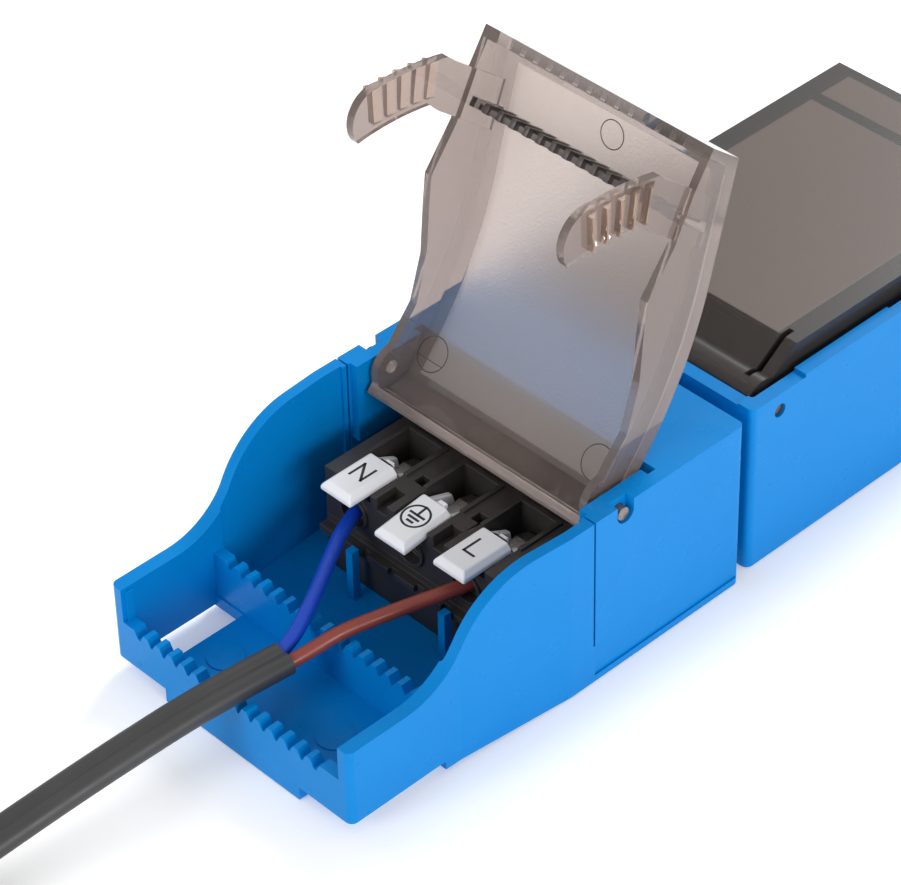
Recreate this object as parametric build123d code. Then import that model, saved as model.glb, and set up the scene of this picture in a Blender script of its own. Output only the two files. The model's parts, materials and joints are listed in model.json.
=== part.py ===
from build123d import *
import math

# Three-pole lever connector for flat lighting flex, in two plug-together halves.
# Each half is modelled in its own half frame: X across, Y from the cable entry (0) towards
# the mating end, Z up from the lowest face. The plug half is then set at -Y, the socket half
# is turned round and set at +Y, so the whole stands on Z = 0 with its middle at X = Y = 0.

# ---- driving dimensions, millimetres ----
HALF_SPAN = 68.9            # from the middle of the pair to each cable entry face
HALF_LENGTH = 67.7          # one housing, entry face to mating face
WALL = 2.0
FRONT_HALF_WIDTH = 22.0     # outside, at the cable entry
REAR_HALF_WIDTH = 23.35     # outside, from the flare to the mating end
FLARE_START, FLARE_END = 18.6, 36.6
RIM_LOW, RIM_HIGH = 13.9, 26.4
RIM_FLAT_END = 9.5          # where the S-shaped rim starts to rise
RIM_RADIUS_LOW, RIM_RADIUS_HIGH = 11.0, 13.5
ENTRY_RAISE = 2.1           # underside of the entry section stands this far up
FOOT_STEP = 15.85           # where the underside steps down
FLOOR_FRONT, FLOOR_MAIN = 3.6, 1.9
CHAMBER_STEP = 0.4          # the side walls are this much thinner beside the wire chamber
FOOT_HALF_WIDTH = 12.5

TOOTH_PITCH = 2.33
TOOTH_COUNT = 14
TOOTH_OFFSET = -0.65        # the row sits a little to one side
TEETH_ROWS = ((0.0, 1.8, 7.4), (15.3, 17.0, 9.4))    # start, end and valley height of each row
TOOTH_HEIGHT = 1.2

WINDOW_INNER, WINDOW_OUTER = 14.65, 20.0             # latch windows in the entry floor
WINDOW_START, WINDOW_END = 4.0, 15.1

POST_X = 8.5                # low posts on the floor in front of the terminals

COVER_START = 40.75         # rear cover: slit behind the side walls
COVER_GAP = 0.3
COVER_BOTTOM = 6.1
COVER_ROOF_START = 53.4
CHEEK_INNER = 20.1          # thick cheeks that carry the lid pins
CHEEK_END = 52.0

HINGE_Y, HINGE_Z = 46.0, 24.5
PIN_RADIUS, PIN_CLEARANCE = 0.95, 0.06
LID_HALF_WIDTH = 19.4
LID_WALL = 1.2
LID_PLATE = 1.7
LID_NOSE = 4.3              # radius of the plug lid's round back, about its pins
LID_OPEN = 129.0            # degrees that the plug lid stands open

POLE_PITCH = 10.35
BLOCK_HALF_WIDTH = 15.9
BLOCK_FRONT, BLOCK_REAR = 31.2, 56.5
BLOCK_SPLIT, BLOCK_TOP = 10.5, 18.3
ENTRY_Z = 14.0
TAB_FRONT, TAB_BACK, TAB_TOP = 27.9, 36.3, 19.45
TAB_HALF_WIDTH = 2.8
PIVOT_Y, PIVOT_Z = 39.2, 14.6
EARTH_TAB_DIP = 7.0         # degrees that the middle lever is pressed further down

SOCKET_HINGE_Y, SOCKET_HINGE_Z = 62.5, 23.8
SOCKET_RIM, SOCKET_END_RIM = 27.0, 26.2
SOCKET_RIM_STEP = 57.7      # the rim is lower from here to the end wall
SOCKET_REAR_HALF_WIDTH, SOCKET_FRONT_HALF_WIDTH = 22.5, 21.8
SOCKET_LID_TOP = 29.5

CONTACT_RADIUS, CONTACT_CLEARANCE = 1.2, 0.06
CONTACT_Z = 12.8
CONTACT_REACH = 9.0         # of the pins past the gap, into the socket half

FLEX_WIDTH, FLEX_HEIGHT = 5.1, 3.15
CORE_RADIUS, CONDUCTOR_RADIUS = 0.98, 0.55
CONDUCTOR_END = 41.0        # how far the bare conductors reach under the clamps
SPRING_THICKNESS, SPRING_HALF_WIDTH = 0.3, 1.2

POLES = {"n": -POLE_PITCH, "e": 0.0, "l": POLE_PITCH}


# ---- helpers ----
def slab(x0, x1, y0, y1, z0, z1):
    """A box from its lowest to its highest corner."""
    return Pos((x0 + x1) / 2, (y0 + y1) / 2, (z0 + z1) / 2) * Box(x1 - x0, y1 - y0, z1 - z0)


def rod(radius, x0, x1, y, z):
    """A cylinder along X."""
    return Pos((x0 + x1) / 2, y, z) * Rot(0, 90, 0) * Cylinder(radius, x1 - x0)


def bore_y(radius, x, z, y0, y1):
    """A cylinder along Y."""
    return Pos(x, (y0 + y1) / 2, z) * Rot(90, 0, 0) * Cylinder(radius, y1 - y0)


def side_extrude(face_yz, x0, x1):
    """A side outline, drawn on the YZ plane, given its thickness from x0 to x1."""
    return Pos(x0, 0, 0) * extrude(face_yz, x1 - x0, dir=(1, 0, 0))


def front_extrude(points_xz, y0, y1):
    """An outline seen from the front, given its thickness from y0 to y1."""
    face = make_face(Plane.XZ * Polyline(*points_xz, close=True))
    return Pos(0, y1, 0) * extrude(face, y1 - y0, dir=(0, -1, 0))


def side_face(*edges):
    return make_face(Plane.YZ * (Curve() + list(edges)))


def both_sides(shape):
    return shape + mirror(shape, Plane.YZ)


def plan(points, corner):
    """A left-right symmetric plan outline with rounded corners."""
    outline = points + [(-x, y) for x, y in reversed(points)]
    face = make_face(Polyline(*outline, close=True))
    return fillet(face.vertices(), corner)


def plug(shape):
    return Pos(0, -HALF_SPAN, 0) * shape


def socket(shape):
    return Pos(0, HALF_SPAN, 0) * Rot(0, 0, 180) * shape


def save(name, shape):
    solids = shape.solids()
    export_step(solids[0] if len(solids) == 1 else Compound(children=list(solids)),
                f"parts/{name}.step")


# ---- housing tray ----
def wall_plan(inset, front, rear, front_half, rear_half, corner):
    return plan([(front_half - inset, front), (front_half - inset, FLARE_START),
                 (rear_half - inset, FLARE_END), (rear_half - inset, rear)], corner)


def below_rim(high):
    """Everything under the S-shaped rim of the side walls."""
    rise = high - RIM_LOW
    radii = RIM_RADIUS_LOW + RIM_RADIUS_HIGH
    turn = math.acos(1 - rise / radii)
    run = radii * math.sin(turn)
    mid_y = RIM_FLAT_END + RIM_RADIUS_LOW * math.sin(turn)
    mid_z = RIM_LOW + RIM_RADIUS_LOW * (1 - math.cos(turn))
    top_y = RIM_FLAT_END + run
    low_mid = (RIM_FLAT_END + RIM_RADIUS_LOW * math.sin(turn / 2),
               RIM_LOW + RIM_RADIUS_LOW * (1 - math.cos(turn / 2)))
    high_mid = (top_y - RIM_RADIUS_HIGH * math.sin(turn / 2),
                high - RIM_RADIUS_HIGH * (1 - math.cos(turn / 2)))
    far = HALF_LENGTH + 5
    face = side_face(
        Polyline((top_y, high), (far, high), (far, -5), (-5, -5), (-5, RIM_LOW),
                 (RIM_FLAT_END, RIM_LOW)),
        ThreePointArc((RIM_FLAT_END, RIM_LOW), low_mid, (mid_y, mid_z)),
        ThreePointArc((mid_y, mid_z), high_mid, (top_y, high)))
    return side_extrude(face, -30, 30)


def underside():
    """What is taken off below the raised entry section and the sloping foot."""
    face = side_face(Polyline((-5, ENTRY_RAISE), (FOOT_STEP, ENTRY_RAISE), (FOOT_STEP, 0.75),
                              (FLARE_END, 0), (FLARE_END, -5), (-5, -5), close=True))
    keep_foot = slab(-FOOT_HALF_WIDTH, FOOT_HALF_WIDTH, 0, 2.2, 0, ENTRY_RAISE + 0.1)
    return side_extrude(face, -30, 30) - keep_foot


def toothed_wall(y0, y1, valley, floor, half_width):
    """A cross wall with a row of blunt teeth and a wide tooth beside each side wall."""
    tip = valley + TOOTH_HEIGHT
    wall = slab(-half_width, half_width, y0, y1, floor, valley)
    tooth = front_extrude([(-1.05, valley - 0.1), (-0.4, tip), (0.4, tip), (1.05, valley - 0.1)],
                          y0, y1)
    places = [TOOTH_OFFSET + (index - (TOOTH_COUNT - 1) / 2) * TOOTH_PITCH
              for index in range(TOOTH_COUNT)]
    for x in places:
        wall += Pos(x, 0, 0) * tooth
    for edge, side in ((places[-1] + 1.4, 1), (-places[0] + 1.4, -1)):
        wide = [(side * edge, valley - 0.1), (side * (edge + 0.7), tip), (side * half_width, tip),
                (side * half_width, valley - 0.1)]
        wall += front_extrude(wide, y0, y1)
    return wall


def tray(rear, front_half, rear_half, high):
    outer = extrude(wall_plan(0, 0, rear, front_half, rear_half, 1.0), high)
    room = wall_plan(WALL, 0.01, rear - WALL, front_half, rear_half, 0.5)
    shell = outer - Pos(0, 0, FLOOR_FRONT) * extrude(room, high)
    main = slab(-30, 30, TEETH_ROWS[1][1], 80, FLOOR_MAIN, high)
    chamber = wall_plan(WALL - CHAMBER_STEP, TEETH_ROWS[1][1], rear - WALL, front_half, rear_half, 0.5)
    shell -= Pos(0, 0, FLOOR_MAIN) * extrude(room, high) & main
    shell -= Pos(0, 0, FLOOR_MAIN) * extrude(chamber, high) & slab(-30, 30, 0, COVER_START - 1, 0, high)
    shell = (shell & below_rim(high)) - underside()
    shell -= slab(-front_half + WALL, front_half - WALL, -1, 0.5, FLOOR_FRONT, high)
    inner = front_half - WALL + 0.2
    for y0, y1, valley in TEETH_ROWS:
        shell += toothed_wall(y0, y1, valley, FLOOR_FRONT - 1.5, inner)
    shell += both_sides(slab(LID_HALF_WIDTH + 0.2, front_half - WALL + 0.2, 0.6, 1.8,
                             FLOOR_FRONT, RIM_LOW - 0.6))
    for side in (-1, 1):
        x0, x1 = sorted((side * WINDOW_INNER, side * (front_half - WALL)))
        shell -= slab(x0, x1, WINDOW_START, WINDOW_END, -1, FLOOR_FRONT + 0.1)
        shell += Pos(side * 10.2, 8.2, FLOOR_FRONT) * Cylinder(2.5, 0.3)
        shell += slab(side * POST_X - 0.6, side * POST_X + 0.6, 28.2, 29.4,
                      FLOOR_MAIN - 0.2, 10.0)
    return shell


# ---- rear cover of the plug half: roof, cheeks with the hinge bores, rear wall ----
def rear_cover():
    outer = extrude(wall_plan(0, 5, HALF_LENGTH, FRONT_HALF_WIDTH, REAR_HALF_WIDTH, 1.0), RIM_HIGH)
    shell = outer & slab(-30, 30, COVER_START, 80, COVER_BOTTOM, RIM_HIGH)
    inner = REAR_HALF_WIDTH - WALL
    shell -= slab(-inner, inner, 0, HALF_LENGTH - WALL, 0, RIM_HIGH - WALL)
    shell -= slab(-CHEEK_INNER, CHEEK_INNER, 0, COVER_ROOF_START, 0, 40)
    shell -= both_sides(slab(CHEEK_INNER - 0.1, inner, 0, COVER_ROOF_START, 0, 40))
    cheek = slab(CHEEK_INNER, inner + 0.1, COVER_START + 0.4, CHEEK_END, 14.0, RIM_HIGH)
    notch = slab(21.9, 30, HINGE_Y - 1.45, HINGE_Y + 1.45, HINGE_Z, 40)
    notch += rod(1.45, 21.9, 30, HINGE_Y, HINGE_Z + 0.35)
    shell += both_sides(cheek)
    shell -= both_sides(notch + rod(PIN_RADIUS + PIN_CLEARANCE, 19, 22.5, HINGE_Y, HINGE_Z))
    for x in POLES.values():
        shell -= bore_y(CONTACT_RADIUS + 0.4, x, CONTACT_Z, 60, 80)
    return shell


# ---- terminal block: lower body, upper body with the lever pockets ----
POCKET_HALF, POCKET_FRONT, POCKET_END, POCKET_FLOOR = 3.0, 34.2, 43.8, 12.2
SEAT_Z = 17.0
FUNNEL_RADIUS = 2.1
TRUNNION_RADIUS, TRUNNION_REACH = 0.8, 3.8


def block_base():
    body = slab(-BLOCK_HALF_WIDTH, BLOCK_HALF_WIDTH, BLOCK_FRONT, BLOCK_REAR, FLOOR_MAIN, BLOCK_SPLIT)
    body += slab(-BLOCK_HALF_WIDTH, BLOCK_HALF_WIDTH, BLOCK_FRONT - 1.4, BLOCK_FRONT + 0.1, 8.4, 9.4)
    body += slab(-BLOCK_HALF_WIDTH, BLOCK_HALF_WIDTH, BLOCK_FRONT - 0.7, BLOCK_FRONT + 0.1, 7.4, 8.5)
    for x in (-12.6, -7.4, -2.4, 2.4, 7.4, 12.6):
        body -= slab(x - 0.6, x + 0.6, BLOCK_FRONT - 2, BLOCK_FRONT - 0.7, 8.0, 9.9)
    body -= slab(-BLOCK_HALF_WIDTH + 2, BLOCK_HALF_WIDTH - 2, 36, BLOCK_REAR - 2, FLOOR_MAIN + 2, 8.0)
    return body


def block_top():
    body = slab(-BLOCK_HALF_WIDTH, BLOCK_HALF_WIDTH, BLOCK_FRONT, BLOCK_REAR, BLOCK_SPLIT, BLOCK_TOP)
    body -= slab(-30, 30, 51.5, 80, 17.0, 40)
    for x in POLES.values():
        frame = slab(x - POCKET_HALF - 0.7, x + POCKET_HALF + 0.7, 37.0, POCKET_END + 0.7,
                     BLOCK_TOP - 0.1, BLOCK_TOP + 0.4)
        body += frame
        body -= slab(x - POCKET_HALF, x + POCKET_HALF, POCKET_FRONT, POCKET_END, POCKET_FLOOR, 40)
        body -= slab(x - POCKET_HALF, x + POCKET_HALF, BLOCK_FRONT - 1, POCKET_FRONT + 0.1, SEAT_Z, 40)
        body += bore_y(FUNNEL_RADIUS + 0.5, x, ENTRY_Z, BLOCK_FRONT - 0.5, BLOCK_FRONT + 0.1)
        body -= bore_y(FUNNEL_RADIUS, x, ENTRY_Z, BLOCK_FRONT - 1, BLOCK_FRONT + 1.2)
        body -= bore_y(1.35, x, ENTRY_Z, BLOCK_FRONT, POCKET_FRONT + 0.2)
        body -= rod(TRUNNION_RADIUS + PIN_CLEARANCE, x - TRUNNION_REACH - 0.2,
                    x + TRUNNION_REACH + 0.2, PIVOT_Y, PIVOT_Z)
        body -= slab(x - 1.8, x + 1.8, POCKET_END - 0.1, BLOCK_REAR + 1, 11.4, 14.3)
        rear_pocket = Pos(x, 48.0, 16.2) * Box(7.0, 4.6, 6)
        body -= fillet(rear_pocket.edges().filter_by(Axis.Z), 1.2)
    for x in (-POLE_PITCH / 2, POLE_PITCH / 2):
        body -= slab(x - 0.9, x + 0.9, BLOCK_FRONT - 1, 34.6, 16.6, 40)
        body -= slab(x - 0.3, x + 1.3, 37.2, 38.8, 16.0, 40)
        body += slab(x - 1.2, x - 0.9, BLOCK_FRONT, 34.6, BLOCK_TOP - 0.1, BLOCK_TOP + 0.3)
    return body


def tab_section(z_top):
    """Rounded tab plan with bevelled sides, seen from above."""
    lower = slab(-TAB_HALF_WIDTH, TAB_HALF_WIDTH, TAB_FRONT, TAB_BACK, z_top - 1.5, z_top)
    top = lower.faces().sort_by(Axis.Z)[-1]
    edges = [edge for edge in top.edges() if edge.center().Y < TAB_BACK - 0.1]
    return chamfer(edges, 0.8, 0.7)


def lever(dip):
    """White lever tab, its two cheeks and trunnions, for a pole at X = 0."""
    body = tab_section(TAB_TOP)
    body += slab(0.1, 1.5, TAB_BACK - 0.1, TAB_BACK + 0.8, TAB_TOP - 0.9, TAB_TOP - 0.1)
    cheek = side_face(Polyline((34.6, TAB_TOP - 1.2), (TAB_BACK, TAB_TOP - 1.2), (40.6, 16.1),
                               (PIVOT_Y + 1.7, PIVOT_Z), (PIVOT_Y, PIVOT_Z - 1.9),
                               (PIVOT_Y - 1.8, PIVOT_Z - 0.6), close=True))
    body += both_sides(side_extrude(cheek, 1.8, 2.7))
    body += both_sides(rod(TRUNNION_RADIUS, 2.6, TRUNNION_REACH, PIVOT_Y, PIVOT_Z))
    return Pos(0, PIVOT_Y, PIVOT_Z) * Rot(dip, 0, 0) * Pos(0, -PIVOT_Y, -PIVOT_Z) * body


def clamp_spring():
    """A bent steel strip that presses the conductor on its bar."""
    centre = Polyline((36.9, 14.85), (41.0, 15.5), (43.1, 14.9), (43.3, 13.3))
    strip = make_face(Plane.YZ * offset(centre, SPRING_THICKNESS / 2))
    return side_extrude(strip, -SPRING_HALF_WIDTH, SPRING_HALF_WIDTH)


def bar(y0, y1):
    return slab(-1.5, 1.5, y0, y1, 12.3, 13.1)


def plug_contact():
    """Copper bar under the clamp, ending in the round pin that enters the other half."""
    end = HALF_LENGTH + 2 * (HALF_SPAN - HALF_LENGTH) + CONTACT_REACH
    pin = bore_y(CONTACT_RADIUS, 0, CONTACT_Z, 54.0, end)
    pin = chamfer(pin.edges().sort_by(Axis.Y)[-1], 0.5)
    return bar(36.0, 54.5) + pin


def socket_contact():
    """Copper bar under the clamp, ending in a slotted sleeve for the pin."""
    sleeve = bore_y(2.0, 0, CONTACT_Z, 56.7, 65.5)
    sleeve -= bore_y(CONTACT_RADIUS + CONTACT_CLEARANCE, 0, CONTACT_Z, 57.7, 70)
    sleeve -= slab(-0.3, 0.3, 60.5, 70, 0, 30)
    return bar(36.0, 57.0) + sleeve


# ---- lids: a smoked cap whose skirts drop inside the tray walls ----
ARM_INNER, ARM_OUTER, RIDGE_OUTER = 17.4, 18.6, 19.6
ARM_REACH_NEAR, ARM_REACH_FAR = 38.9, 45.0      # radii of the curved part about the hinge
ARM_FRONT, ARM_BACK = 5.7, 12.3
FLUTE_WIDTH, FLUTE_DEPTH = 1.5, 0.5


def about_hinge(radius, below):
    """A side-view point at a radius from the lid hinge, an angle below the level."""
    turn = math.radians(below)
    return HINGE_Y - radius * math.cos(turn), HINGE_Z - radius * math.sin(turn)


def fluted_wall(y0, y1, z0, z1, half_width):
    wall = slab(-half_width, half_width, y0, y1, z0, z1)
    for index in range(TOOTH_COUNT):
        x = TOOTH_OFFSET + (index - (TOOTH_COUNT - 1) / 2) * TOOTH_PITCH
        wall -= slab(x - FLUTE_WIDTH / 2, x + FLUTE_WIDTH / 2, y0 - 1, y0 + FLUTE_DEPTH, 0, z1 - 1.0)
        wall -= slab(x - FLUTE_WIDTH / 2, x + FLUTE_WIDTH / 2, y0 - 1, y1 + 1, 0, z0 + 1.0)
    return wall


def latch_arm():
    """One latch arm: straight down from the plate, then round an arc about the hinge."""
    face = side_face(
        Polyline((ARM_FRONT, 17.5), (ARM_FRONT, 6.2), about_hinge(ARM_REACH_FAR, 26)),
        ThreePointArc(about_hinge(ARM_REACH_FAR, 26), about_hinge(ARM_REACH_FAR, 33),
                      about_hinge(ARM_REACH_FAR, 40)),
        ThreePointArc(about_hinge(ARM_REACH_FAR, 40), about_hinge(43.4, 46.4),
                      about_hinge(ARM_REACH_NEAR, 47)),
        ThreePointArc(about_hinge(ARM_REACH_NEAR, 47), about_hinge(ARM_REACH_NEAR, 38),
                      about_hinge(ARM_REACH_NEAR, 29)),
        Polyline(about_hinge(ARM_REACH_NEAR, 29), (ARM_BACK, 7.6), (ARM_BACK, 19.5),
                 (ARM_FRONT, 17.5)))
    arm = side_extrude(face, ARM_INNER, ARM_OUTER)
    ridge = make_face(Polyline((ARM_OUTER - 0.1, 0.9), (ARM_OUTER - 0.1, -0.9),
                               (RIDGE_OUTER, -0.9), (RIDGE_OUTER, -0.6), close=True))
    ridge = Rot(90, 0, 0) * extrude(ridge, ARM_REACH_FAR - ARM_REACH_NEAR - 1.0)
    ridge = Pos(0, -ARM_REACH_NEAR - 0.5, 0) * ridge
    for below in (28.0, 31.2, 34.4, 37.6, 40.8):
        arm += Pos(0, HINGE_Y, HINGE_Z) * Rot(below, 0, 0) * ridge
    return arm


def cap(outline, hollow, half_width):
    """A cap from its side outline, hollowed from below, open between its skirts."""
    outer = side_extrude(outline, -half_width, half_width)
    return outer - side_extrude(hollow, -half_width + LID_WALL, half_width - LID_WALL)


def hinge_pins(y, z, reach):
    return both_sides(rod(PIN_RADIUS, LID_HALF_WIDTH - 0.3, reach, y, z))


def plug_lid():
    """The plug lid in its shut position."""
    slope_end, crown = (17.0, 24.4), (38.5, HINGE_Z + LID_NOSE)
    hinge_top, hinge_back = (HINGE_Y, HINGE_Z + LID_NOSE), (HINGE_Y + LID_NOSE, HINGE_Z)
    diagonal = LID_NOSE * math.sqrt(0.5)
    outline = side_face(
        Polyline((0.2, 11.3), (0.2, 17.2), slope_end),
        ThreePointArc(slope_end, (27.5, 27.6), crown),
        Line(crown, hinge_top),
        ThreePointArc(hinge_top, (HINGE_Y + diagonal, HINGE_Z + diagonal), hinge_back),
        Polyline(hinge_back, (HINGE_Y + LID_NOSE, 23.0), (HINGE_Y + 2.7, 23.0)),
        ThreePointArc((HINGE_Y + 2.7, 23.0), (HINGE_Y, 21.4), (HINGE_Y - 2.7, 22.4)),
        Polyline((HINGE_Y - 2.7, 22.4), (37.0, 22.6), (30.5, 20.0), (24.0, 15.6), (20.5, 13.4),
                 (13.0, 13.3), (6.0, 11.9), (0.2, 11.3)))
    inner = LID_NOSE - LID_PLATE
    hollow = side_face(
        Polyline((1.8, 5), (1.8, 16.1), (17.2, 22.6)),
        ThreePointArc((17.2, 22.6), (27.6, 25.8), (38.5, HINGE_Z + inner)),
        Polyline((38.5, HINGE_Z + inner), (HINGE_Y, HINGE_Z + inner), (HINGE_Y + 2.9, HINGE_Z),
                 (HINGE_Y + 2.9, 5), (1.8, 5)))
    lid = cap(outline, hollow, LID_HALF_WIDTH)
    lid += fluted_wall(0.2, 1.8, 11.3, 17.2, LID_HALF_WIDTH - 1.0)
    lid += fluted_wall(9.0, 10.3, 12.8, 20.0, ARM_INNER + 0.1)
    lid += both_sides(latch_arm()) + hinge_pins(HINGE_Y, HINGE_Z, REAR_HALF_WIDTH - 0.4)
    return lid


def opened(shape):
    return Pos(0, HINGE_Y, HINGE_Z) * Rot(-LID_OPEN, 0, 0) * Pos(0, -HINGE_Y, -HINGE_Z) * shape


def socket_lid():
    """The socket lid, shut: flat top, a ramp and a round nose at the hinge."""
    y, z, nose = SOCKET_HINGE_Y, SOCKET_HINGE_Z, 3.1
    ramp = math.radians(125)
    tangent = (y + nose * math.cos(ramp), z + nose * math.sin(ramp))
    crest = (y - 6.3, SOCKET_LID_TOP)
    mid = math.radians(60)
    outline = side_face(
        Polyline((0.4, 11.6), (0.4, 22.0), (4.0, SOCKET_LID_TOP), crest, tangent),
        ThreePointArc(tangent, (y + nose * math.cos(mid), z + nose * math.sin(mid)), (y + nose, z)),
        Polyline((y + nose, z), (y + nose, z - 1.4), (y + 1.9, z - 2.2), (y - 2.5, z - 2.4),
                 (36.0, 22.6), (30.5, 20.0), (20.5, 13.4), (13.0, 13.3), (6.0, 11.9), (0.4, 11.6)))
    hollow = side_face(
        Polyline((2.0, 5), (2.0, 21.5), (5.0, SOCKET_LID_TOP - LID_PLATE),
                 (y - 7.0, SOCKET_LID_TOP - LID_PLATE), (y - 2.8, z + 1.4), (y + 1.9, z + 1.4),
                 (y + 1.9, 5), close=True))
    lid = cap(outline, hollow, LID_HALF_WIDTH)
    lid += fluted_wall(0.4, 2.0, 11.6, 20.0, LID_HALF_WIDTH - 1.0)
    lid += fluted_wall(9.0, 10.3, 12.8, SOCKET_LID_TOP - 1.0, ARM_INNER + 0.1)
    arm = slab(ARM_INNER, ARM_OUTER, ARM_FRONT + 0.8, ARM_BACK, 0.4, SOCKET_LID_TOP - 1.0)
    for level in (0.9, 2.2, 3.5, 4.8):
        arm += slab(ARM_OUTER - 0.1, RIDGE_OUTER - 0.2, ARM_FRONT + 1.3, ARM_BACK - 0.5,
                    level, level + 0.5)
    lid += both_sides(arm) + hinge_pins(y, z, SOCKET_REAR_HALF_WIDTH - 0.4)
    tongue_slot = slab(16.6, 17.5, y - 8.0, y + 0.5, z + 1.5, 40)
    return lid - both_sides(tongue_slot)


def socket_tray():
    shell = tray(HALF_LENGTH, SOCKET_FRONT_HALF_WIDTH, SOCKET_REAR_HALF_WIDTH, SOCKET_RIM)
    shell -= slab(-30, 30, SOCKET_RIM_STEP, 80, SOCKET_END_RIM + 0.3, 40)
    shell -= slab(-19.8, 19.8, HALF_LENGTH - WALL - 1, 80, SOCKET_END_RIM, 40)
    shell -= both_sides(rod(PIN_RADIUS + PIN_CLEARANCE, 18, 30, SOCKET_HINGE_Y, SOCKET_HINGE_Z))
    for x in POLES.values():
        shell -= bore_y(CONTACT_RADIUS + 0.8, x, CONTACT_Z, 60, 80)
    return shell


# ---- flat two-core flex ----
FLEX_AXIS_X, FLEX_DRIFT = -0.2, 0.12     # sideways place of the flex at the entry, and its drift
FLEX_END_Y = 8.6                         # where the sheath is stripped back, in the plug half
FLEX_ROUTE = ((0, 10.35), (11, 10.2), (24, 8.6), (38, 6.3), (51, 3.7), (62, 2.0), (73, 1.7))
COIL_RADIUS, COIL_HEIGHT = 26.0, 9.7
BLUE_ROUTE = ((-0.2, 8.6, 10.35), (-0.6, 11.4, 10.9), (-1.8, 14.6, 12.0), (-4.0, 18.8, 12.6),
              (-6.6, 23.4, 13.3), (-9.0, 27.8, 13.9), (-10.35, 31.8, 14.0))
BROWN_ROUTE = ((1.9, 8.6, 10.35), (2.6, 11.6, 10.9), (3.5, 15.6, 11.9), (4.9, 20.4, 12.1),
               (7.0, 25.0, 12.9), (9.3, 28.9, 13.9), (10.35, 32.6, 14.0))


def arc_radii(points, what):
    """Largest even arcs that a route allows, from its runs and turns."""
    vectors = [Vector(*b) - Vector(*a) for a, b in zip(points, points[1:])]
    radii = []
    for before, after in zip(vectors, vectors[1:]):
        half_turn = math.radians(before.get_angle(after)) / 2
        radii.append(0.45 * min(before.length, after.length) / math.tan(half_turn))
    print(what, "arc radii", [round(r, 1) for r in radii])
    return radii


def round_route(points, what):
    return FilletPolyline(*points, radius=arc_radii(points, what))


def flex_point(along, z):
    """A point of the flex, a distance along its plan line from the stripped end."""
    length = math.hypot(1, FLEX_DRIFT)
    y = FLEX_END_Y - along / length
    return (FLEX_AXIS_X + FLEX_DRIFT * y, y, z)


def flex_tube():
    path = round_route([flex_point(*point) for point in FLEX_ROUTE], "flex sheath")
    start = Plane(origin=path @ 0, x_dir=(1, -FLEX_DRIFT, 0), z_dir=path % 0)
    section = start * SlotOverall(FLEX_WIDTH, FLEX_HEIGHT)
    tube = sweep(section, path)
    area = math.pi * FLEX_HEIGHT ** 2 / 4 + (FLEX_WIDTH - FLEX_HEIGHT) * FLEX_HEIGHT
    print("flex tube volume", round(tube.volume, 1), "section x length", round(area * path.length, 1),
          "length", round(path.length, 1))
    return tube


def core(points, what):
    path = round_route(points, what)
    section = Plane(origin=path @ 0, z_dir=path % 0) * Circle(CORE_RADIUS)
    tube = sweep(section, path)
    print(what, "length", round(path.length, 1), "volume ratio",
          round(tube.volume / (math.pi * CORE_RADIUS ** 2 * path.length), 3))
    return tube


def coil_centre():
    x, y, _ = flex_point(*FLEX_ROUTE[-1])
    length = math.hypot(1, FLEX_DRIFT)
    return x + COIL_RADIUS / length, y - COIL_RADIUS * FLEX_DRIFT / length


def coil():
    x, y = coil_centre()
    ring = Cylinder(COIL_RADIUS + FLEX_WIDTH / 2, COIL_HEIGHT)
    ring -= Cylinder(COIL_RADIUS - FLEX_WIDTH / 2, COIL_HEIGHT + 1)
    ring = Pos(x, y, 0.1 + COIL_HEIGHT / 2) * ring
    end = flex_point(*FLEX_ROUTE[-1])
    turn = -math.degrees(math.atan(FLEX_DRIFT))
    room = Pos(end[0], end[1], 0) * Rot(0, 0, turn) * slab(-2.6, 2.6, 0, 20, -1, 4.4)
    return ring - room


def tail_cores():
    x, y = coil_centre()
    stubs = []
    for offset_x in (-1.2, 1.2):
        stubs.append(bore_y(CORE_RADIUS, x + COIL_RADIUS + offset_x, 0.1 + COIL_HEIGHT + CORE_RADIUS,
                            y - 6, y + 6))
    return stubs[0] + stubs[1]


def conductors():
    ends = (BLUE_ROUTE[-1], BROWN_ROUTE[-1])
    blue, brown = (bore_y(CONDUCTOR_RADIUS, x, ENTRY_Z, y, CONDUCTOR_END) for x, y, _ in ends)
    return blue + brown


# ---- write every sub-part ----
plug_tray = tray(HALF_LENGTH, FRONT_HALF_WIDTH, REAR_HALF_WIDTH, RIM_HIGH)
plug_tray -= slab(-30, 30, COVER_START - COVER_GAP, 80, COVER_BOTTOM, 40)
plug_tray -= both_sides(slab(REAR_HALF_WIDTH - 0.25, 30, COVER_START, 80, 1.0, 40))
save("plug_tray", plug(plug_tray))
save("plug_rear_cover", plug(rear_cover()))
save("plug_block_base", plug(block_base()))
save("plug_block_top", plug(block_top()))
save("plug_lid", plug(opened(plug_lid())))
save("socket_tray", socket(socket_tray()))
save("socket_block_base", socket(block_base()))
save("socket_block_top", socket(block_top()))
save("socket_lid", socket(socket_lid()))
for name, x in POLES.items():
    dip = EARTH_TAB_DIP if name == "e" else 0
    save(f"plug_lever_{name}", plug(Pos(x, 0, 0) * lever(dip)))
    save(f"plug_spring_{name}", plug(Pos(x, 0, 0) * clamp_spring()))
    save(f"plug_contact_{name}", plug(Pos(x, 0, 0) * plug_contact()))
    save(f"socket_lever_{name}", socket(Pos(-x, 0, 0) * lever(0)))
    save(f"socket_spring_{name}", socket(Pos(-x, 0, 0) * clamp_spring()))
    save(f"socket_contact_{name}", socket(Pos(-x, 0, 0) * socket_contact()))
save("flex_sheath", plug(flex_tube()))
save("flex_coil", plug(coil()))
save("flex_tail_cores", plug(tail_cores()))
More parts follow.
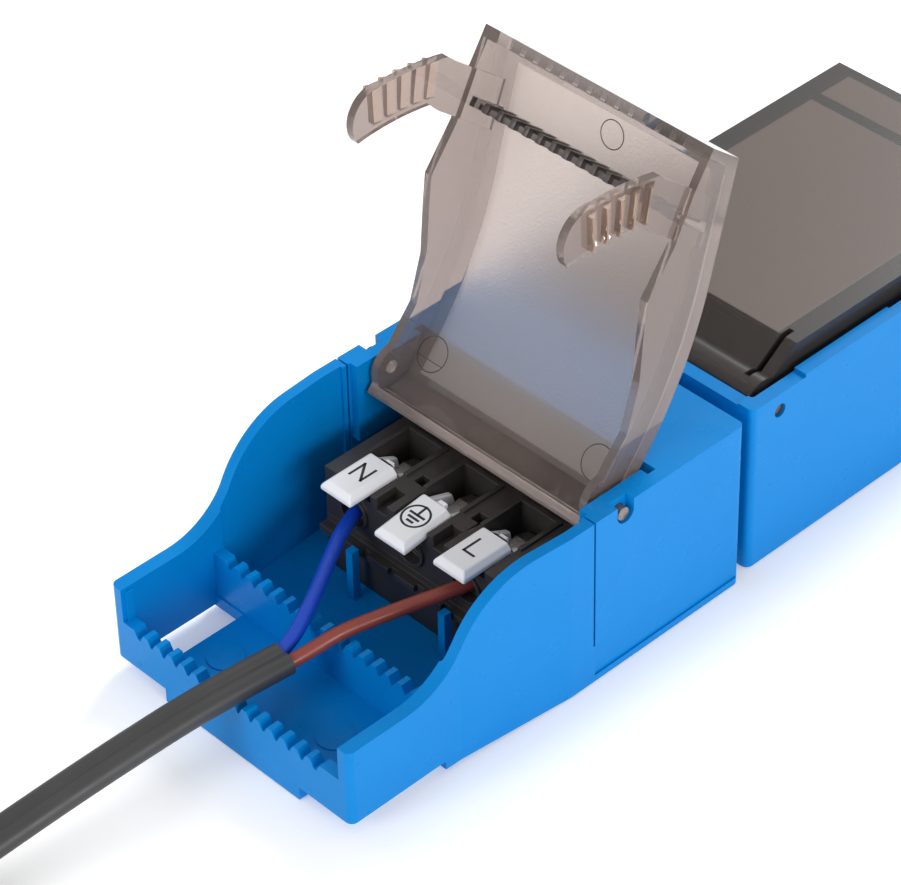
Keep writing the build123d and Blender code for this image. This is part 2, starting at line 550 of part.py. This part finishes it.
save("core_blue", plug(core(BLUE_ROUTE, "blue core")))
save("core_brown", plug(core(BROWN_ROUTE, "brown core")))
save("core_conductors", plug(conductors()))
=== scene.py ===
import json
import math

import bmesh
import bpy
from mathutils import Matrix, Vector

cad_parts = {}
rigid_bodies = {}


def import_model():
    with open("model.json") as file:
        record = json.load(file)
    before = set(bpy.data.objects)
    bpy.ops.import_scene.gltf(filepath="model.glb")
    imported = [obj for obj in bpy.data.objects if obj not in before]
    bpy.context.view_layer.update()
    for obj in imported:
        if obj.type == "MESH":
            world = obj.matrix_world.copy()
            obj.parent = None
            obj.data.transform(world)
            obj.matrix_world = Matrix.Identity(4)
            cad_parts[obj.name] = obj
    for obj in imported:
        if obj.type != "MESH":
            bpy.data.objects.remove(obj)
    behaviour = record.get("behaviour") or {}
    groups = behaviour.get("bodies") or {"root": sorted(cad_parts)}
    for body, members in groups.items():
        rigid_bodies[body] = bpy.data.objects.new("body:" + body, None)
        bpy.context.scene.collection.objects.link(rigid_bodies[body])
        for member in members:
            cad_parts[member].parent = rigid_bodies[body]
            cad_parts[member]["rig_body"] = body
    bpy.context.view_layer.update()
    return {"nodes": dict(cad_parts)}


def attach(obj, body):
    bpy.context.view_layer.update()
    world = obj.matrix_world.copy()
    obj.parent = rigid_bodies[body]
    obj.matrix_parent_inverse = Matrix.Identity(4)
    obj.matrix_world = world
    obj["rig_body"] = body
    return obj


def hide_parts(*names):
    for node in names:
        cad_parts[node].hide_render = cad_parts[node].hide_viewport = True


# A three-pole lever connector in two plug-together halves: an open plug half with a flat flex
# in it, and a shut socket half. Lengths are millimetres until they are multiplied by MM.

MM = 0.001
HALF_SPAN = 68.9             # from the middle of the pair to each cable entry face
HINGE_Y, HINGE_Z = 46.0, 24.5
LID_OPEN = 129.0             # degrees that the plug lid stands open
POLE_PITCH = 10.35
TAB_TOP = 19.45
PIVOT_Y, PIVOT_Z = 39.2, 14.6
EARTH_TAB_DIP = 7.0          # degrees

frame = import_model()


def plug_point(x, y, z):
    """A point of the plug half's own frame, in the row frame."""
    return Vector((x, y - HALF_SPAN, z)) * MM


# ---- camera ----
CAMERA_PLACE = (267.3, -281.1, 328.9)
CAMERA_ANGLES = (46.83, 39.48, -1.37)       # azimuth, elevation and roll, degrees
CAMERA_LENS = 151.24


def add_camera():
    azimuth, elevation, roll = (math.radians(angle) for angle in CAMERA_ANGLES)
    back = Vector((math.sin(azimuth) * math.cos(elevation),
                   -math.cos(azimuth) * math.cos(elevation), math.sin(elevation)))
    right = Vector((math.cos(azimuth), math.sin(azimuth), 0))
    up = back.cross(right)
    across = right * math.cos(roll) + up * math.sin(roll)
    upward = up * math.cos(roll) - right * math.sin(roll)
    data = bpy.data.cameras.new("camera")
    data.sensor_width, data.lens = 36.0, CAMERA_LENS
    data.clip_start, data.clip_end = 0.01, 10
    camera = bpy.data.objects.new("camera", data)
    bpy.context.scene.collection.objects.link(camera)
    turn = Matrix((across, upward, back)).transposed().to_4x4()
    camera.matrix_world = Matrix.Translation(Vector(CAMERA_PLACE) * MM) @ turn
    bpy.context.scene.camera = camera


# ---- light, floor: places and sizes in metres, powers in watts ----
WORLD_STRENGTH = 0.6
LIGHTS = (("back", (-0.25, 0.85, 0.7), 0.5, 8.5), ("side", (0.95, -0.2, 0.3), 0.5, 4.6),
          ("front", (-0.1, -0.9, 0.45), 0.4, 3.0))
FLOOR_SIZE, FLOOR_DROP = 6, 0.0002
FLOOR_ALBEDO, FLOOR_GLOW = 0.95, 0.2


def add_area_light(name, place, size, power):
    data = bpy.data.lights.new(name, "AREA")
    data.shape, data.size, data.energy = "DISK", size, power
    light = bpy.data.objects.new(name, data)
    light.location = place
    light.rotation_mode = "QUATERNION"
    light.rotation_quaternion = (-Vector(place)).to_track_quat("-Z", "Y")
    bpy.context.scene.collection.objects.link(light)


def add_studio():
    scene = bpy.context.scene
    scene.view_settings.view_transform = "Standard"
    scene.world = bpy.data.worlds.new("studio")
    scene.world.use_nodes = True
    background = scene.world.node_tree.nodes["Background"]
    background.inputs["Color"].default_value = (1, 1, 1, 1)
    background.inputs["Strength"].default_value = WORLD_STRENGTH
    for light in LIGHTS:
        add_area_light(*light)
    bpy.ops.mesh.primitive_plane_add(size=FLOOR_SIZE, location=(0, 0, -FLOOR_DROP))
    floor = bpy.context.object
    floor.name = "floor"
    paint, _, shader = new_material("floor_white")
    shader.inputs["Base Color"].default_value = (FLOOR_ALBEDO, FLOOR_ALBEDO, FLOOR_ALBEDO, 1)
    shader.inputs["Emission Color"].default_value = (1, 1, 1, 1)
    shader.inputs["Emission Strength"].default_value = FLOOR_GLOW
    shader.inputs["Roughness"].default_value = 0.9
    floor.data.materials.append(paint)


# ---- materials ----
def new_material(name):
    material = bpy.data.materials.new(name)
    material.use_nodes = True
    tree = material.node_tree
    return material, tree, tree.nodes["Principled BSDF"]


def noise(tree, grain_mm, detail=2.0):
    """Noise in the object's own frame, its grain a real size."""
    place = tree.nodes.new("ShaderNodeTexCoord")
    node = tree.nodes.new("ShaderNodeTexNoise")
    node.inputs["Scale"].default_value = 1 / (grain_mm * MM)
    node.inputs["Detail"].default_value = detail
    tree.links.new(place.outputs["Object"], node.inputs["Vector"])
    return node.outputs["Fac"]


def spread(tree, value, low, high):
    """A value from 0 to 1 turned into one from low to high."""
    node = tree.nodes.new("ShaderNodeMapRange")
    node.inputs["From Min"].default_value = 0.3
    node.inputs["From Max"].default_value = 0.7
    node.inputs["To Min"].default_value = low
    node.inputs["To Max"].default_value = high
    tree.links.new(value, node.inputs["Value"])
    return node.outputs["Result"]


def mottled(tree, value, colour_a, colour_b):
    """A blend of two plain colours."""
    node = tree.nodes.new("ShaderNodeMix")
    node.data_type = "RGBA"
    node.inputs["A"].default_value = (*colour_a, 1)
    node.inputs["B"].default_value = (*colour_b, 1)
    tree.links.new(value, node.inputs["Factor"])
    return node.outputs["Result"]


def mix_colour(tree, share, colour_a, colour_b):
    """A colour output blended towards a plain colour."""
    node = tree.nodes.new("ShaderNodeMix")
    node.data_type = "RGBA"
    tree.links.new(colour_a, node.inputs["A"])
    node.inputs["B"].default_value = (*colour_b, 1)
    tree.links.new(share, node.inputs["Factor"])
    return node.outputs["Result"]


def roughened(tree, height, depth_mm):
    node = tree.nodes.new("ShaderNodeBump")
    node.inputs["Distance"].default_value = depth_mm * MM
    tree.links.new(height, node.inputs["Height"])
    return node.outputs["Normal"]


def plastic(name, colour_a, colour_b, rough, grain_mm=0.18, depth_mm=0.004, specular=0.5):
    """Moulded plastic: slight mottling, uneven gloss and a fine grain."""
    material, tree, shader = new_material(name)
    broad, fine = noise(tree, 9.0), noise(tree, grain_mm, 1.0)
    tree.links.new(mottled(tree, broad, colour_a, colour_b), shader.inputs["Base Color"])
    tree.links.new(spread(tree, noise(tree, 3.5), *rough), shader.inputs["Roughness"])
    tree.links.new(roughened(tree, fine, depth_mm), shader.inputs["Normal"])
    shader.inputs["Specular IOR Level"].default_value = specular
    return material


def metal(name, colour, rough):
    material, tree, shader = new_material(name)
    lighter = tuple(min(1.0, 1.15 * c) for c in colour)
    tree.links.new(mottled(tree, noise(tree, 0.8), colour, lighter), shader.inputs["Base Color"])
    tree.links.new(spread(tree, noise(tree, 0.3), *rough), shader.inputs["Roughness"])
    shader.inputs["Metallic"].default_value = 1.0
    return material


def shut_place(tree):
    """Where a point of the plug lid lies when the lid is shut."""
    place = tree.nodes.new("ShaderNodeTexCoord")
    turn = tree.nodes.new("ShaderNodeVectorRotate")
    turn.rotation_type = "X_AXIS"
    turn.inputs["Center"].default_value = plug_point(0, HINGE_Y, HINGE_Z)
    turn.inputs["Angle"].default_value = math.radians(LID_OPEN)
    tree.links.new(place.outputs["Object"], turn.inputs["Vector"])
    return turn.outputs["Vector"]


def object_place(tree):
    return tree.nodes.new("ShaderNodeTexCoord").outputs["Object"]


def inside(tree, value, middle, half, edge):
    """1 where a coordinate is within half of the middle, falling to 0 over the edge, all in mm."""
    away = tree.nodes.new("ShaderNodeMath")
    away.operation = "SUBTRACT"
    away.inputs[1].default_value = middle * MM
    tree.links.new(value, away.inputs[0])
    size = tree.nodes.new("ShaderNodeMath")
    size.operation = "ABSOLUTE"
    tree.links.new(away.outputs[0], size.inputs[0])
    ramp = tree.nodes.new("ShaderNodeMapRange")
    ramp.inputs["From Min"].default_value = half * MM
    ramp.inputs["From Max"].default_value = (half + edge) * MM
    ramp.inputs["To Min"].default_value = 1.0
    ramp.inputs["To Max"].default_value = 0.0
    tree.links.new(size.outputs[0], ramp.inputs["Value"])
    return ramp.outputs["Result"]


def times(tree, a, b):
    node = tree.nodes.new("ShaderNodeMath")
    node.operation = "MULTIPLY"
    tree.links.new(a, node.inputs[0])
    tree.links.new(b, node.inputs[1])
    return node.outputs[0]


def either(tree, a, b):
    """The larger of two values."""
    node = tree.nodes.new("ShaderNodeMath")
    node.operation = "MAXIMUM"
    tree.links.new(a, node.inputs[0])
    tree.links.new(b, node.inputs[1])
    return node.outputs[0]


def between(tree, share, low, high):
    """A share from 0 to 1 turned into a value from low to high."""
    node = tree.nodes.new("ShaderNodeMapRange")
    node.inputs["To Min"].default_value = low
    node.inputs["To Max"].default_value = high
    tree.links.new(share, node.inputs["Value"])
    return node.outputs["Result"]


FLUTED = ((9.65, 0.75), (0.9, 0.8))     # middle and half depth of the rib and of the front wall
FLUTE_MIDDLE, FLUTE_REACH, FLUTE_HALF_WIDTH = 15.0, 3.4, 17.2
# painted shade: the fluted cells of the rib and front wall are tinted dark where light caught in the
# plastic darkens them
FLUTE_PAINTED_SHADE = (0.10, 0.085, 0.08)
RIDGE_INNER, RIDGE_TOP = 18.7, 9.0      # the finger ridges on the lid's arms
RIDGE_TINT = (0.62, 0.44, 0.34)
FIELD_HALF_WIDTH, FIELD_GRAIN = 16.0, 0.3
BAR_HALF_WIDTH = 0.9


def smoked(name, tint, rim, place, middle_y, half_y, clear, frosted, through, bar_y, grain_depth):
    """Smoked see-through plastic: a frosted large face, a clear darker rim, a bar across and painted shade
    in the fluted cells.
    """
    material, tree, shader = new_material(name)
    axes = tree.nodes.new("ShaderNodeSeparateXYZ")
    tree.links.new(place(tree), axes.inputs["Vector"])
    field = times(tree, inside(tree, axes.outputs["X"], 0, FIELD_HALF_WIDTH, 0.2),
                  inside(tree, axes.outputs["Y"], middle_y, half_y, 0.3))
    if bar_y is not None:
        bar = inside(tree, axes.outputs["Y"], bar_y, BAR_HALF_WIDTH, 0.3)
        field = times(tree, field, between(tree, bar, 1, 0))
    ridges = times(tree, between(tree, inside(tree, axes.outputs["X"], 0, RIDGE_INNER, 0.1), 1, 0),
                   inside(tree, axes.outputs["Z"], 0, RIDGE_TOP, 0.3))
    body = mottled(tree, field, rim, tint)
    body = mix_colour(tree, ridges, body, RIDGE_TINT)
    bands = [inside(tree, axes.outputs["Y"], y - HALF_SPAN, half, 0.1) for y, half in FLUTED]
    # mask of the fluted cells, where the colour is blended towards the painted shade
    flute_painted_shade = times(tree, inside(tree, axes.outputs["Z"], FLUTE_MIDDLE, FLUTE_REACH, 0.3),
                   inside(tree, axes.outputs["X"], 0, FLUTE_HALF_WIDTH, 0.1))
    flute_painted_shade = times(tree, flute_painted_shade, either(tree, *bands))
    tree.links.new(mix_colour(tree, flute_painted_shade, body, FLUTE_PAINTED_SHADE), shader.inputs["Base Color"])
    shader.inputs["Transmission Weight"].default_value = through
    shader.inputs["IOR"].default_value = 1.5
    tree.links.new(between(tree, field, clear, frosted), shader.inputs["Roughness"])
    grain = times(tree, noise(tree, FIELD_GRAIN), field)
    tree.links.new(roughened(tree, grain, grain_depth), shader.inputs["Normal"])
    return material


MERGE_DISTANCE = 1e-6                   # metres
FLAT_ANGLE, SMOOTH_ANGLE, EDGE_ANGLE = 0.5, 30, 35      # degrees


def moulded(name, material, width_mm):
    """The CAD node's own shape with its sharp edges softened, shown in its place."""
    source = frame["nodes"][name]
    mesh = bmesh.new()
    mesh.from_mesh(source.data)
    bmesh.ops.remove_doubles(mesh, verts=mesh.verts, dist=MERGE_DISTANCE)
    bmesh.ops.dissolve_limit(mesh, angle_limit=math.radians(FLAT_ANGLE), verts=mesh.verts,
                             edges=mesh.edges)
    smooth = math.radians(SMOOTH_ANGLE)
    for face in mesh.faces:
        face.smooth = True
    for edge in mesh.edges:
        edge.smooth = len(edge.link_faces) == 2 and edge.calc_face_angle() < smooth
    data = bpy.data.meshes.new(f"{name}_moulded")
    mesh.to_mesh(data)
    mesh.free()
    data.materials.append(material)
    piece = bpy.data.objects.new(f"{name}_moulded", data)
    bpy.context.scene.collection.objects.link(piece)
    edge = piece.modifiers.new("edges", "BEVEL")
    edge.width, edge.segments, edge.limit_method = width_mm * MM, 2, "ANGLE"
    edge.angle_limit, edge.use_clamp_overlap = math.radians(EDGE_ANGLE), False
    edge.harden_normals = True
    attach(piece, source["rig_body"])
    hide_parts(name)
    return piece


def dress(material, *nodes):
    for name in nodes:
        mesh = frame["nodes"][name].data
        mesh.materials.clear()
        mesh.materials.append(material)


def dress_frame():
    blue = plastic("blue_plastic", (0.0, 0.20, 0.57), (0.001, 0.22, 0.61), (0.26, 0.34), specular=0.12)
    black = plastic("black_nylon", (0.026, 0.023, 0.022), (0.038, 0.034, 0.032), (0.38, 0.5), 0.25, 0.008)
    white = plastic("white_plastic", (0.80, 0.81, 0.84), (0.84, 0.85, 0.88), (0.3, 0.4))
    dress(blue, "plug_tray", "plug_rear_cover", "socket_tray")
    dress(smoked("smoked_clear", (0.74, 0.64, 0.59), (0.46, 0.38, 0.35), shut_place,
                 24.0 - HALF_SPAN, 21.0, 0.04, 0.42, 0.80, None, 0.05), "plug_lid")
    dress(smoked("smoked_dark", (0.15, 0.10, 0.08), (0.07, 0.062, 0.056), object_place,
                 HALF_SPAN - 31.0, 25.0, 0.25, 0.45, 0.45, 56.2, 0.01), "socket_lid")
    for name in ("plug_block_base", "plug_block_top"):
        moulded(name, black, 0.1)
    dress(black, "socket_block_base", "socket_block_top")
    for pole in ("n", "e", "l"):
        moulded(f"plug_lever_{pole}", white, 0.22)
    dress(white, *(f"socket_lever_{pole}" for pole in ("n", "e", "l")))
    for half in ("plug", "socket"):
        for pole in ("n", "e", "l"):
            dress(metal("spring_steel", (0.3, 0.29, 0.28), (0.25, 0.4)), f"{half}_spring_{pole}")
            dress(metal("tinned_copper", (0.72, 0.42, 0.26), (0.25, 0.4)), f"{half}_contact_{pole}")
    dress(metal("bare_copper", (0.8, 0.38, 0.22), (0.25, 0.4)), "core_conductors")


# ---- printed marks on the levers, painted groove shade of the ejector circles on the lid ----
STROKE = 0.36
MARK_Y = 32.8
LETTER_N = ((-1.0, -1.35), (-1.0, 1.35), (1.0, -1.35), (1.0, 1.35))
LETTER_L = ((-0.8, 1.4), (-0.8, -1.4), (0.95, -1.4))
EARTH_BARS = (((0, 1.9), (0, 0.25)), ((-1.15, 0.25), (1.15, 0.25)), ((-0.8, -0.42), (0.8, -0.42)),
              ((-0.42, -1.08), (0.42, -1.08)))


def add_stroke(mesh, start, end, width, z):
    """A straight flat stroke with square ends, from one point to another."""
    start, end = Vector((*start, 0)), Vector((*end, 0))
    along = (end - start).normalized() * width / 2
    across = Vector((-along.y, along.x, 0))
    corners = [start - along - across, end + along - across, end + along + across,
               start - along + across]
    mesh.faces.new([mesh.verts.new(corner + Vector((0, 0, z))) for corner in corners])


def add_ring(mesh, middle, radius, width, z, count=48):
    rims = [[mesh.verts.new((middle[0] + r * math.cos(2 * math.pi * i / count),
                             middle[1] + r * math.sin(2 * math.pi * i / count), z))
             for i in range(count)] for r in (radius - width / 2, radius + width / 2)]
    for i in range(count):
        k = (i + 1) % count
        mesh.faces.new((rims[0][i], rims[1][i], rims[1][k], rims[0][k]))


def mark_object(name, mesh, material, body, place):
    """Flat strokes, drawn in mm, made into a thin raised piece at their place."""
    data = bpy.data.meshes.new(name)
    mesh.to_mesh(data)
    mesh.free()
    data.materials.append(material)
    piece = bpy.data.objects.new(name, data)
    bpy.context.scene.collection.objects.link(piece)
    skin = piece.modifiers.new("skin", "SOLIDIFY")
    skin.thickness, skin.offset = 0.02, 0
    piece.matrix_world = place @ Matrix.Scale(MM, 4)
    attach(piece, body)
    return piece


def add_lever_marks():
    ink = plastic("black_print", (0.01, 0.01, 0.01), (0.02, 0.02, 0.02), (0.4, 0.5))
    for name, offset, dip in (("n", -1, 0), ("e", 0, EARTH_TAB_DIP), ("l", 1, 0)):
        mesh = bmesh.new()
        if name == "e":
            add_ring(mesh, (0, 0), 1.9, 0.3, 0)
            runs = EARTH_BARS
        else:
            points = LETTER_N if name == "n" else LETTER_L
            runs = list(zip(points, points[1:]))
        for start, end in runs:
            add_stroke(mesh, start, end, STROKE, 0)
        pivot = plug_point(offset * POLE_PITCH, PIVOT_Y, PIVOT_Z)
        spot = plug_point(offset * POLE_PITCH, MARK_Y, TAB_TOP + 0.012) - pivot
        place = (Matrix.Translation(pivot) @ Matrix.Rotation(math.radians(dip), 4, "X")
                 @ Matrix.Translation(spot))
        mark_object(f"mark_{name}", mesh, ink, f"plug_lever_{name}", place)


def lid_place(x, y, z, tilt=0.0):
    """A place on the plug lid, given where it is when the lid is shut."""
    hinge = plug_point(0, HINGE_Y, HINGE_Z)
    return (Matrix.Translation(hinge) @ Matrix.Rotation(math.radians(-LID_OPEN), 4, "X")
            @ Matrix.Translation(plug_point(x, y, z) - hinge) @ Matrix.Rotation(tilt, 4, "X"))


# width of the painted-shade rings drawn at the ejector circles' grooves
GROOVE = 0.14
FREE_END_SLOPE = math.atan2(22.6 - 16.1, 17.2 - 1.8)
EJECTORS = (("free_end", 1.0, 5.2, 17.5, FREE_END_SLOPE, 1.9),      # place, tilt and radius
            ("hinge_left", -15.6, 42.2, 27.08, 0, 2.4), ("hinge_right", 14.5, 42.8, 27.08, 0, 2.4))


def add_lid_marks():
    """Ejector circles on the inside of the plug lid, drawn as dark rings of painted shade for their
    grooves.
    """
    # painted shade: a dark ring stands in for the shade in each ejector circle's groove
    groove = plastic("ejector_groove_painted_shade", (0.05, 0.04, 0.035), (0.07, 0.06, 0.05), (0.4, 0.5))
    for name, x, y, z, tilt, radius in EJECTORS:
        mesh = bmesh.new()
        add_ring(mesh, (0, 0), radius, GROOVE, 0)
        if name == "hinge_left":
            add_stroke(mesh, (-radius + 0.3, 0.9), (radius - 0.3, 0.9), 0.1, 0)
        mark_object(f"ejector_{name}", mesh, groove, "plug_lid", lid_place(x, y, z, tilt))


# ---- flex: routes as in the part ----
FLEX_WIDTH, FLEX_HEIGHT = 5.1, 3.15
FLEX_AXIS_X, FLEX_DRIFT, FLEX_END_Y = -0.2, 0.12, 8.6
FLEX_ROUTE = ((0, 10.35), (11, 10.2), (24, 8.6), (38, 6.3), (51, 3.7), (62, 2.0), (73, 1.7))
COIL_RADIUS, COIL_STEPS, COIL_POINTS = 26.0, 42, 16      # mm, points in all, points to a turn
TURN_GAP = 0.05
TAIL_TURNS, TAIL_OFFSET = 0.055, 1.1                      # stripped cores beyond the sheath
CORE_RADIUS = 0.98
BLUE_ROUTE = ((-0.2, 8.6, 10.35), (-0.6, 11.4, 10.9), (-1.8, 14.6, 12.0), (-4.0, 18.8, 12.6),
              (-6.6, 23.4, 13.3), (-9.0, 27.8, 13.9), (-10.35, 31.8, 14.0))
BROWN_ROUTE = ((1.9, 8.6, 10.35), (2.6, 11.6, 10.9), (3.5, 15.6, 11.9), (4.9, 20.4, 12.1),
               (7.0, 25.0, 12.9), (9.3, 28.9, 13.9), (10.35, 32.6, 14.0))


def flex_point(along, z):
    y = FLEX_END_Y - along / math.hypot(1, FLEX_DRIFT)
    return plug_point(FLEX_AXIS_X + FLEX_DRIFT * y, y, z)


def coil_point(start, turns, outward=0.0):
    """A point of the coil, whose turns each lie on the one before."""
    drift = math.atan(FLEX_DRIFT)
    centre = start + Vector((math.cos(drift), -math.sin(drift), 0)) * COIL_RADIUS * MM
    climb = math.floor(turns) + max(0.0, (turns % 1 - 0.75) / 0.25)
    angle = math.pi - drift + turns * 2 * math.pi
    radius = COIL_RADIUS + outward
    return centre + Vector((radius * math.cos(angle), radius * math.sin(angle),
                            climb * (FLEX_HEIGHT + TURN_GAP))) * MM


def spline(name, points, bevel_mm=None, profile=None):
    """A smooth curve that the points pull on."""
    data = bpy.data.curves.new(name, "CURVE")
    data.dimensions, data.resolution_u = "3D", 10
    line = data.splines.new("NURBS")
    line.points.add(len(points) - 1)
    for control, place in zip(line.points, points):
        control.co = (*place, 1)
    line.order_u, line.use_endpoint_u = 3, True
    data.use_fill_caps = True
    if profile is not None:
        data.bevel_mode, data.bevel_object = "OBJECT", profile
        data.twist_mode = "Z_UP"
    else:
        data.bevel_depth, data.bevel_resolution = bevel_mm * MM, 6
    thing = bpy.data.objects.new(name, data)
    bpy.context.scene.collection.objects.link(thing)
    return thing


def flat_profile():
    """The flex's section: two round lobes with a groove along each flat face."""
    data = bpy.data.curves.new("flex_profile", "CURVE")
    data.dimensions = "2D"
    line = data.splines.new("POLY")
    count, radius = 96, FLEX_HEIGHT / 2
    offset = FLEX_WIDTH / 2 - radius
    line.points.add(count - 1)
    for index, control in enumerate(line.points):
        angle = 2 * math.pi * index / count
        x = math.cos(angle) * radius + offset * math.tanh(3 * math.cos(angle))
        dent = 0.45 * math.exp(-(x / 0.7) ** 2)
        z = math.sin(angle) * (radius - dent)
        control.co = (x * MM, z * MM, 0, 1)
    line.use_cyclic_u = True
    thing = bpy.data.objects.new("flex_profile", data)
    bpy.context.scene.collection.objects.link(thing)
    thing.hide_render = True
    return thing


def add_flex():
    sheath_black = plastic("pvc_black", (0.035, 0.035, 0.036), (0.048, 0.048, 0.05), (0.38, 0.5), 0.3, 0.01)
    route = [flex_point(*point) for point in FLEX_ROUTE]
    start, end = route[-1], COIL_STEPS / COIL_POINTS
    route += [coil_point(start, step / COIL_POINTS) for step in range(1, COIL_STEPS + 1)]
    flex = spline("flex", route, profile=flat_profile())
    flex.data.materials.append(sheath_black)
    cores = []
    for name, route, shades in (("blue", BLUE_ROUTE, ((0.004, 0.045, 0.42), (0.006, 0.06, 0.50))),
                                ("brown", BROWN_ROUTE, ((0.22, 0.04, 0.026), (0.27, 0.052, 0.034)))):
        material = plastic(f"pvc_{name}", *shades, (0.3, 0.42), 0.3, 0.006)
        points = [plug_point(*point) for point in route]
        piece = spline(f"{name}_core", points, CORE_RADIUS)
        piece.data.materials.append(material)
        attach(piece, "plug_half")
        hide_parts(f"core_{name}")
        side = TAIL_OFFSET if name == "blue" else -TAIL_OFFSET
        points = [coil_point(start, end + share * TAIL_TURNS, side) for share in (-0.2, 0.5, 1.0)]
        tail = spline(f"{name}_tail", points, CORE_RADIUS)
        tail.data.materials.append(material)
        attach(tail, "plug_half")
        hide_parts("flex_tail_cores")
        cores += [piece, tail]
    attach(flex, "plug_half")
    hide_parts("flex_sheath", "flex_coil")


add_camera()
add_flex()
add_studio()
dress_frame()
add_lever_marks()
add_lid_marks()
